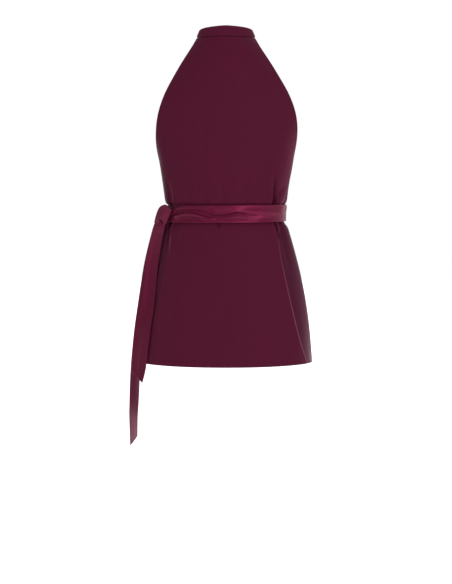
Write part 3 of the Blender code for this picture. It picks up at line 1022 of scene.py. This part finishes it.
def make_back():
    """The one-piece back."""
    rows = spread_columns(read_rows("back_panel"), BACK_COLUMNS)
    rows[0] = [lowered(place, 0.0) for place in rows[0]]
    piece = lay_sheet("cloth_back", with_row_ends(rows), 3)
    fill_out(piece)
    shift_right_seam(piece)
    press_body_creases(piece, BACK_CREASES + SIDE_CREASES, round_back)
    raise_edges_and_paint_highlight(piece, [
        (on_right_seam, RIGHT_SEAM_HEIGHT, RIGHT_SEAM_HIGHLIGHT_PAINT, 2),
        (on_left_seam, LEFT_SEAM_HEIGHT, LEFT_SEAM_HIGHLIGHT_PAINT, 2),
        *PANEL_EDGES,
    ])
    paint_fold_highlights(piece, down_and_round(piece, round_back), BACK_FOLD_HIGHLIGHTS)
    finish_cloth(piece, BODY_WALL, crepe)
    return piece


cloth_back = make_back()

# %% [markdown]
# ## Fronts
#
# The two fronts wrap round from the side seams and lap at the centre, right over left.
# The photograph shows only their sides: dark folds above and below the belt beside the
# knot, and the plain side of the skirt.  The rest is finished plainly, with gathers at
# the waist like those of the back and soft pulls from the collar towards the chest.

# %% Front creases
#   line (down, degrees round from the centre front) ..., widths, depth, fade in, fade out
LEFT_CREASES = [
    ([(296, -60), (335, -58), (374, -57)], 8, 7, -1.6, 50, 2),
    ([(305, -37), (340, -35), (374, -34)], 7, 6, -1.3, 50, 2),
    ([(322, -19), (350, -18), (374, -18)], 5, 5, -0.9, 36, 2),
    ([(318, -46), (345, -45), (374, -44)], 4, 4, 0.7, 40, 2),
    ([(14, -24), (60, -30), (120, -34)], 7, 9, -0.8, 24, 60),
    ([(407, -27), (430, -28), (466, -30)], 6, 6, -1.3, 2, 44),
    ([(407, -72), (440, -71), (500, -70)], 7, 8, -1.2, 2, 70),
    ([(480, -52), (600, -54), (746, -55)], 20, 22, 1.6, 160, 30),
    ([(500, -84), (620, -86), (746, -88)], 18, 20, -1.2, 160, 30),
]
RIGHT_CREASES = [
    ([(300, 66), (335, 63), (374, 62)], 8, 8, -1.7, 50, 2),
    ([(312, 42), (345, 40), (374, 39)], 6, 7, -1.2, 46, 2),
    ([(328, 25), (352, 24), (374, 24)], 5, 5, -1, 34, 2),
    ([(320, 52), (348, 51), (374, 50)], 4, 4, 0.7, 40, 2),
    ([(10, 27), (62, 33), (128, 38)], 8, 7, -0.8, 24, 60),
    ([(407, 34), (432, 35), (474, 37)], 6, 7, -1.4, 2, 50),
    ([(407, 77), (438, 76), (490, 75)], 7, 7, -1.1, 2, 66),
    ([(480, 48), (600, 50), (746, 51)], 20, 20, 1.6, 160, 30),
    ([(500, 82), (620, 84), (746, 86)], 18, 18, -1.2, 160, 30),
]
#   how far from the centre the lap's border may lie, and how far down it starts, mm
LAP_REACH = 17.0
LAP_START = 60.0


def on_lap(place):
    """A border corner on the upright edge at the centre front."""
    return abs(place[0]) < LAP_REACH and place[1] > 0.0 and LAP_START < -place[2] < HEM_START


# %% Make the fronts
def make_front(name, node, creases, on_seam, height, pale):
    """One front, from its side seam to its edge past the centre."""
    piece = lay_sheet(name, finer_borders(read_rows(node)), 3)
    fill_out(piece)
    shift_right_seam(piece)
    press_body_creases(piece, SIDE_CREASES, round_back)
    press_body_creases(piece, creases, round_front)
    lap = (on_lap, evenly(0.3), evenly(0.12), 3.0)
    raise_edges_and_paint_highlight(piece, [(on_seam, height, pale, 2.0), *PANEL_EDGES, lap])
    meet_seam(piece, cloth_back, on_seam)
    # the fronts take the crepe copy that is painted darker, painted shade for their sides
    finish_cloth(piece, BODY_WALL, crepe_painted_shade)
    return piece


cloth_front_left = make_front(
    "cloth_front_left", "front_left", LEFT_CREASES, on_left_seam, LEFT_SEAM_HEIGHT, LEFT_SEAM_HIGHLIGHT_PAINT)
cloth_front_right = make_front(
    "cloth_front_right", "front_right", RIGHT_CREASES, on_right_seam, RIGHT_SEAM_HEIGHT, evenly(0.1))

# %% [markdown]
# ## Collar
#
# A band folded along its top edge stands up from the neck seam and laps at the centre
# front.  Two layers of cloth make it thicker and a little plumper than the body.  A
# plain band would leave a slit above the panels, so its lower edge is carried on inside
# them, as the turnings of a sewn seam are, and just above the seam it flares over them.

# %% Make the collar
COLLAR_WALL = 0.0019
COLLAR_FLARE = 3.2
COLLAR_PLUMP = 1.7
COLLAR_HEIGHT = 18.0
COLLAR_TURNING = 3.4
COLLAR_RISE = Vector((0.0, 0.0, 0.0014))
COLLAR_TUCK = 4.4
COLLAR_TUCK_RUN = 1.2
COLLAR_EDGE_STEPS = 8


def make_collar():
    """The standing band."""
    rows = read_rows("collar")
    rows[-1] = [lowered(place, COLLAR_TURNING) for place in rows[-1]]
    rows[0] = [place + COLLAR_RISE for place in rows[0]]
    lower = [place * MM for place in rows[-1]]
    steps = [i / COLLAR_EDGE_STEPS for i in range(COLLAR_EDGE_STEPS)]
    lower_edge = [first.lerp(last, step) for first, last in zip(lower, lower[1:]) for step in steps]
    piece = lay_sheet("cloth_collar", finer_borders(rows), 3)
    above = distance_to(places_of(piece), lower_edge) - COLLAR_TUCK
    stand = COLLAR_FLARE + (COLLAR_PLUMP - COLLAR_FLARE) * smooth_step(above / COLLAR_HEIGHT)
    push_out(piece, stand * smooth_step(above / COLLAR_TUCK_RUN))
    paint_rim_highlight(piece, evenly(0.1))
    finish_cloth(piece, COLLAR_WALL, crepe)
    return piece


cloth_collar = make_collar()

# %% [markdown]
# ## Belt
#
# The belt is a long folded strip.  Round the waist it is pulled tight and creases
# lengthwise: near the knot a lobe bulges below a sharp fold, then a long dark trough
# runs to the middle of the back, and the strip lies smoother towards the right side.
# These creases run round the body, so their lines are placed in degrees round and
# their widths are measured up and down.

# %% Belt creases
BELT_WALL = 0.0018
#   line (degrees round, down) ..., width above, width below, depth, fade in, fade out
BELT_CREASES = [
    ([(-67, 396), (-62, 396), (-57, 394.4), (-52, 392.4), (-46, 391.8), (-40, 393.2), (-34, 396.4),
      (-28, 399.4), (-21, 401), (-13, 402)], 2.6, 4.6, 4.2, 3, 8),
    ([(-67, 390), (-60, 388), (-54, 387), (-47, 386.6), (-38, 387.6), (-30, 391), (-22, 395),
      (-13, 398)], 6, 2.6, -3.8, 3, 8),
    ([(-70, 394), (-65, 391), (-59, 387), (-53, 383.4)], 1.5, 1.4, -4.5, 3, 4),
    ([(-66, 379), (-56, 377.4), (-44, 376.6), (-30, 376.6), (-15, 377.6)], 2.2, 7, 2.2, 3, 10),
    ([(-62, 404), (-54, 402), (-46, 401.6), (-38, 403), (-30, 405.4)], 3.4, 4.6, -3, 4, 8),
    ([(-39, 377.4), (-30, 377.6), (-19, 377.4)], 1.4, 2.2, 0.9, 4, 4),
    ([(-37, 386), (-31, 386.6), (-24, 388)], 1.2, 1.4, -0.9, 3, 4),
    ([(-22, 389), (-13, 391.4), (-5, 391.2), (3, 388.8), (11, 385.6), (19, 385.2), (28, 388), (38, 391)],
     9, 2.2, 3.4, 8, 20),
    ([(-19, 398), (-12, 396.8), (-5, 395.6), (3, 394), (11, 391.8), (19, 391.8), (27, 394), (36, 395.6),
      (48, 396)], 2.6, 2.8, -2.8, 8, 22),
    ([(-8, 400.4), (3, 399.6), (12, 399), (22, 399.4), (34, 400.4)], 2.2, 3.6, 1.8, 8, 12),
    ([(-8, 405.6), (0, 405.2), (10, 404.8)], 1.6, 1.8, -1.4, 5, 5),
    ([(8, 382.6), (20, 384), (30, 385.6), (40, 386.6), (50, 387)], 5.6, 1.8, -2, 20, 10),
    ([(36, 400), (50, 399.4), (70, 398), (92, 397)], 7, 7, 1.6, 14, 18),
    ([(44, 385), (58, 386.6), (74, 387.6)], 2.4, 3.4, -0.9, 8, 10),
    ([(62, 377), (80, 376), (98, 378)], 8, 10, 2, 12, 16),
    ([(96, 392), (112, 388), (128, 386), (146, 388)], 2.4, 5, -2.4, 12, 16),
    ([(104, 399), (120, 396), (138, 394.6), (156, 396)], 3.4, 4, 2.2, 12, 16),
    ([(110, 380), (124, 378.6), (140, 379)], 4, 4, 1.4, 10, 12),
    ([(150, 382), (166, 383), (184, 386), (204, 389)], 5, 2.6, 2.2, 14, 18),
    ([(158, 389), (174, 391), (190, 394), (210, 396)], 2, 4.4, -2.6, 12, 16),
    ([(172, 401), (188, 403), (202, 404)], 2.4, 3, 1.2, 10, 10),
    ([(198, 383), (214, 385), (230, 390), (248, 394)], 2.4, 4, -2.2, 12, 16),
    ([(204, 399), (222, 397), (240, 398), (258, 399)], 4, 5, 2.2, 14, 16),
    ([(236, 386), (252, 389), (268, 392), (288, 395)], 2.2, 3.8, 2.4, 12, 8),
    ([(242, 381), (258, 383), (274, 386), (290, 391)], 3.4, 1.8, -1.8, 12, 6),
    ([(246, 401), (262, 401), (278, 400), (290, 398)], 2.6, 3, -1.5, 12, 6),
]
#     the same for painted highlights, pale lines along the tops of folds, with paleness for depth
BELT_FOLD_HIGHLIGHTS = [
    ([(-67, 398.6), (-61, 396), (-54, 393), (-47, 392), (-40, 393.4), (-34, 396.6), (-27, 400.2)],
     1.3, 2, 0.75, 3, 6),
    ([(-20, 382), (-4, 381), (12, 381)], 2.6, 4, 0.35, 8, 8),
    ([(-14, 397.4), (4, 396.6), (20, 396), (40, 397.4), (60, 399)], 1.6, 3, 0.35, 8, 20),
]
BELT_LOWEST = -2.8
BELT_STAND = 1.6
BELT_START = -69.0

# %% Make the belt round the waist
def lay_weave(piece, along, across):
    """A UV map in metres: U along the strip, V across it."""
    layer = piece.data.uv_layers.new(name="strip")
    corner_of = np.empty(len(piece.data.loops), dtype=int)
    piece.data.loops.foreach_get("vertex_index", corner_of)
    flat = np.stack([along[corner_of], across[corner_of]], axis=-1)
    layer.data.foreach_set("uv", flat.ravel())


def make_belt_band():
    """The strip round the waist."""
    piece = lay_sheet("satin_belt", finer_borders(read_rows("belt_band")), 3)
    down, turn, mm_round = down_and_round(piece, round_back)
    turn = np.where(turn < BELT_START, turn + 360.0, turn)
    where = (turn, down, 1.0)
    push_out(piece, np.maximum(crease_depth(*where, BELT_CREASES), BELT_LOWEST) + BELT_STAND)
    lay_weave(piece, turn * mm_round.mean() / MM, -down / MM)
    paint_rim_highlight(piece, evenly(0.25))
    paint_fold_highlights(piece, where, BELT_FOLD_HIGHLIGHTS)
    finish_cloth(piece, BELT_WALL, satin)
    return piece


satin_belt = make_belt_band()

# %% [markdown]
# ## Knot
#
# The strip is laid over itself once: it comes up behind the belt, turns over the top
# and falls in front, and its lower edge opens a little where the end slips out.

# %% Knot places
KNOT_WALL = 0.0018
KNOT_MIDDLE = Vector((-137.0, -33.0, 0.0))
KNOT_ALONG = Vector((-0.8, 0.6, 0.0))
KNOT_OUT = Vector((-0.6, -0.8, 0.0))
KNOT_COLUMNS = 8
#   stand off, down, right edge, left edge, plumpness, share of the shoulder, share of the lip
KNOT_WRAP = [
    (-3.4, 408, -8, 5, 0, 0, 0),
    (-3.4, 396, -11, 6, 0, 0, 0),
    (-3.4, 384, -15, 7, 0, 0.4, 0),
    (-2.2, 375.6, -19, 7, 0.2, 0.9, 0),
    (0.4, 371, -22, 5, 0.4, 1, 0),
    (4.4, 369.6, -25, 4.6, 0.8, 1, 0),
    (8, 372.4, -27.2, 6.2, 1.4, 0.9, 0),
    (10.4, 378.4, -27.6, 9.4, 2.2, 0.55, 0),
    (11.6, 387, -26, 12.6, 2.8, 0.2, 0),
    (12, 396, -22.4, 15.6, 2.8, 0, 0.12),
    (11.4, 405, -17.4, 18.8, 2.4, 0, 0.5),
    (10.6, 410.6, -13.4, 20.6, 2, 0, 0.85),
    (10.2, 414.4, -11.4, 21.4, 1.8, 0, 1),
]
#   share across from the right edge, how far the top falls, how far the lip rises
KNOT_SHOULDER = [(0, 10), (0.2, 6.8), (0.45, 1.6), (0.7, 0), (1, 2.6)]
KNOT_LIP = [(0, 0), (0.16, 0.4), (0.32, 1.6), (0.5, 2.8), (0.66, 1.6), (0.82, 1.4), (1, 3)]
#   line (down, share across) ..., width right, width left, depth, fade in, fade out
KNOT_PLEATS = [
    ([(382, 0.12), (394, 0.13), (408, 0.12)], 2.4, 4, -1, 8, 8),
    ([(376, 0.44), (394, 0.52), (412, 0.58)], 7, 6, 1.2, 10, 8),
    ([(374, 0.72), (390, 0.8), (404, 0.86)], 3, 3, -0.7, 8, 8),
]
#   line (x, down) ..., width above, width below, depth, fade in, fade out
KNOT_NOTCH = [
    ([(-149.5, 405), (-146.5, 407.4), (-143.5, 410), (-139.5, 412.8)], 2.6, 2.8, -11, 2.5, 2.5),
]
KNOT_WIDTH = 34.0
KNOT_FRONT = 8.0


def knot_rows():
    """Places across the wrap, row by row from behind the belt, over it and down."""
    share = np.linspace(0.0, 1.0, KNOT_COLUMNS + 1)
    rise = along_line(share, KNOT_LIP)
    fall = along_line(share, KNOT_SHOULDER)
    rows = []
    for out, down, right, left, plump, shoulder, lip in KNOT_WRAP:
        fold = crease_depth(np.full(len(share), down), share, KNOT_WIDTH, KNOT_PLEATS)
        fold = fold if out > KNOT_FRONT else 0.0
        along = right + (left - right) * share
        away = out + plump * np.sin(math.pi * share) + fold
        level = rise * lip - fall * shoulder - down
        row = []
        for a, o, z in zip(along, away, level):
            place = KNOT_MIDDLE + KNOT_ALONG * float(a) + KNOT_OUT * float(o)
            row.append(Vector((place.x, place.y, float(z))) / MM)
        rows.append(row)
    return rows


# %% Make the knot
NOTCH_FROM = 4.0
NOTCH_RUN = 3.0
HANG_ALONG = (0.8, -0.6)
# the whole knot is painted paler: a painted highlight
KNOT_HIGHLIGHT_PAINT = 0.62


def lay_hanging_weave(piece):
    """A UV map for a piece that hangs at the left side: U down it, V along the body."""
    x, y, z = places_of(piece).T
    lay_weave(piece, z / MM, (HANG_ALONG[0] * x + HANG_ALONG[1] * y) / MM)


def make_knot():
    """The fold of the strip over the belt."""
    piece = lay_sheet("satin_knot", finer_borders(knot_rows()), 3)
    places = places_of(piece)
    out = (places[:, 0] - KNOT_MIDDLE.x) * KNOT_OUT.x + (places[:, 1] - KNOT_MIDDLE.y) * KNOT_OUT.y
    notch = crease_depth(places[:, 0], -places[:, 2], 1.0, KNOT_NOTCH)
    push_out(piece, notch * smooth_step((out - NOTCH_FROM) / NOTCH_RUN))
    lay_hanging_weave(piece)
    paint_rim_highlight(piece, evenly(0.25))
    paint_highlight_by_level(piece, evenly(KNOT_HIGHLIGHT_PAINT))
    finish_cloth(piece, KNOT_WALL, satin)
    return piece


satin_knot = make_knot()

# %% [markdown]
# ## Belt ends
#
# Two ends hang from the knot, the short one in front of the long one.  Each is the
# same folded strip, cut off on the slant.  They hang nearly straight, with a pleat
# that starts in the knot and opens out on the way down.

# %% Places of the two ends
END_ROWS = 48
END_COLUMNS = 12
END_WIDTH = 37.0
END_BOW = 0.8
END_FREE = 416.0
END_BOW_RUN = 40.0
#   right edge x, y, down, left edge x, y, down
SHORT_END = [
    (-133.7, -41.9, 386, -147.6, -31.5, 386),
    (-132.9, -42.5, 400, -151.2, -28.8, 400),
    (-134.5, -41, 412, -159, -24.6, 411),
    (-138, -38.6, 426, -164, -22.8, 424),
    (-143, -36.4, 450, -170.4, -21.6, 448),
    (-152.2, -44, 507, -183.6, -27, 505),
    (-158.6, -63, 582, -195.6, -37.6, 582),
    (-168.6, -66, 650, -205.6, -37.6, 650),
    (-177.6, -63, 718, -212.6, -32.4, 715),
    (-180.4, -62, 738, -213.6, -31, 733),
    (-187.4, -60, 767, -213.6, -30.6, 744),
]
LONG_END = [
    (-131.6, -36.6, 386, -145.7, -29.6, 386),
    (-130.4, -35.4, 402, -148.1, -27.8, 402),
    (-130, -33.4, 414, -151.4, -24.9, 414),
    (-134, -27, 430, -156, -14.6, 430),
    (-146, -20, 460, -163, -2, 460),
    (-163, -17, 507, -176, 12, 507),
    (-183.6, -18, 586, -191.6, 16, 586),
    (-193.4, -17, 654, -204.6, 18, 654),
    (-195.6, -14, 722, -215.2, 14, 722),
    (-197, -13.4, 775, -219, 13, 775),
    (-199.2, -13.4, 822, -220.6, 13.4, 824),
    (-201.2, -15.4, 850, -221.4, 16.6, 852),
    (-201.8, -15.4, 894, -219.8, 17, 921.5),
]
#   line (down, share across from the right edge) ..., width right, width left, depth, fade in, fade out
SHORT_PLEATS = [
    ([(420, 0.5), (480, 0.6), (540, 0.54), (600, 0.28), (640, 0.16)], 9, 7, 0.9, 30, 40),
    ([(430, 0.86), (500, 0.84), (580, 0.72), (640, 0.6)], 5, 5, -1.8, 30, 50),
    ([(560, 0.66), (640, 0.7), (750, 0.74)], 9, 7, 1.2, 50, 30),
    ([(600, 0.4), (680, 0.44), (760, 0.46)], 5, 6, -1, 50, 30),
    ([(560, 0.05), (660, 0.05), (780, 0.05)], 2, 2.6, 1, 50, 30),
]
LONG_PLEATS = [
    ([(430, 0.4), (520, 0.46), (640, 0.42)], 8, 8, 2.4, 30, 60),
    ([(520, 0.74), (640, 0.7), (780, 0.66)], 6, 8, -2, 50, 60),
    ([(700, 0.3), (760, 0.34), (820, 0.4)], 9, 12, 1.4, 60, 30),
]


def end_rows(table, pleats):
    """Places across a hanging end, row by row down from the knot."""
    run = np.linspace(0.0, len(table) - 1.0, END_ROWS + 1)
    edges = [along_line(run, list(enumerate(column))) for column in zip(*table)]
    share = np.linspace(0.0, 1.0, END_COLUMNS + 1)
    rows = []
    for x1, y1, down1, x2, y2, down2 in zip(*edges):
        right = Vector((x1, y1, -down1))
        left = Vector((x2, y2, -down2))
        outward = (left - right).cross(Vector((0.0, 0.0, 1.0))).normalized()
        bow = END_BOW * float(smooth_step((down1 - END_FREE) / END_BOW_RUN))
        fold = crease_depth(np.full(len(share), down1), share, END_WIDTH, pleats)
        stand = fold + bow * np.sin(math.pi * share)
        rows.append([(right.lerp(left, s) + outward * float(d)) / MM for s, d in zip(share, stand)])
    return rows


# %% Make the belt ends
#     down, how pale the painted highlight is along the rim, and how pale the painted highlight over each
#     end is, where light would catch it
END_RIM_HIGHLIGHT_PAINT = [(380, 0.2), (700, 0.3), (738, 1), (780, 1), (800, 0.2), (930, 0.2)]
SHORT_END_HIGHLIGHT_PAINT = [(386, 0.55), (450, 0.5), (500, 0.24), (600, 0.06), (767, 0.02)]
LONG_END_HIGHLIGHT_PAINT = [(386, 0), (760, 0), (822, 0.1), (846, 0.56), (930, 0.46)]


def make_end(name, table, pleats, level_highlight):
    """One hanging end."""
    piece = lay_sheet(name, finer_borders(end_rows(table, pleats)), 2)
    lay_hanging_weave(piece)
    paint_rim_highlight(piece, END_RIM_HIGHLIGHT_PAINT)
    paint_highlight_by_level(piece, level_highlight)
    finish_cloth(piece, BELT_WALL, satin)
    return piece


satin_end_short = make_end("satin_end_short", SHORT_END, SHORT_PLEATS, SHORT_END_HIGHLIGHT_PAINT)
satin_end_long = make_end("satin_end_long", LONG_END, LONG_PLEATS, LONG_END_HIGHLIGHT_PAINT)

# %% [markdown]
# ## Hand the pieces over
#
# Each cloth piece moves with the one body that the waistcoat has, and the packed solid
# that it stands for is hidden.

# %% Ride and replace
#   piece, node, slot, flat width, flat length, flat area, held, rests on
CUTS = [
    (cloth_back, "back_panel", "crepe", 0.46, 0.75, 0.226, "hung", ["collar"]),
    (cloth_front_left, "front_left", "crepe", 0.36, 0.74, 0.18, "hung", ["collar"]),
    (cloth_front_right, "front_right", "crepe", 0.36, 0.74, 0.18, "hung", ["collar"]),
    (cloth_collar, "collar", "crepe", 0.43, 0.025, None, "folded", ["back_panel"]),
    (satin_belt, "belt_band", "satin", 0.037, 0.74, None, "stretched", ["back_panel"]),
    (satin_knot, "belt_knot", "satin", 0.032, 0.08, None, "folded", ["belt_band"]),
    (satin_end_short, "belt_tail_short", "satin", 0.037, 0.375, None, "hung", ["belt_knot"]),
    (satin_end_long, "belt_tail_long", "satin", 0.034, 0.52, None, "hung", ["belt_knot"]),
]


def hand_over(piece, node, slot, width, length, area, held, rests_on):
    """Attach a piece to the body it moves with and hide the solid it stands for."""
    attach(piece, "root")
    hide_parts(node)


for row in CUTS:
    hand_over(*row)
print(len(CUTS), "pieces handed over")
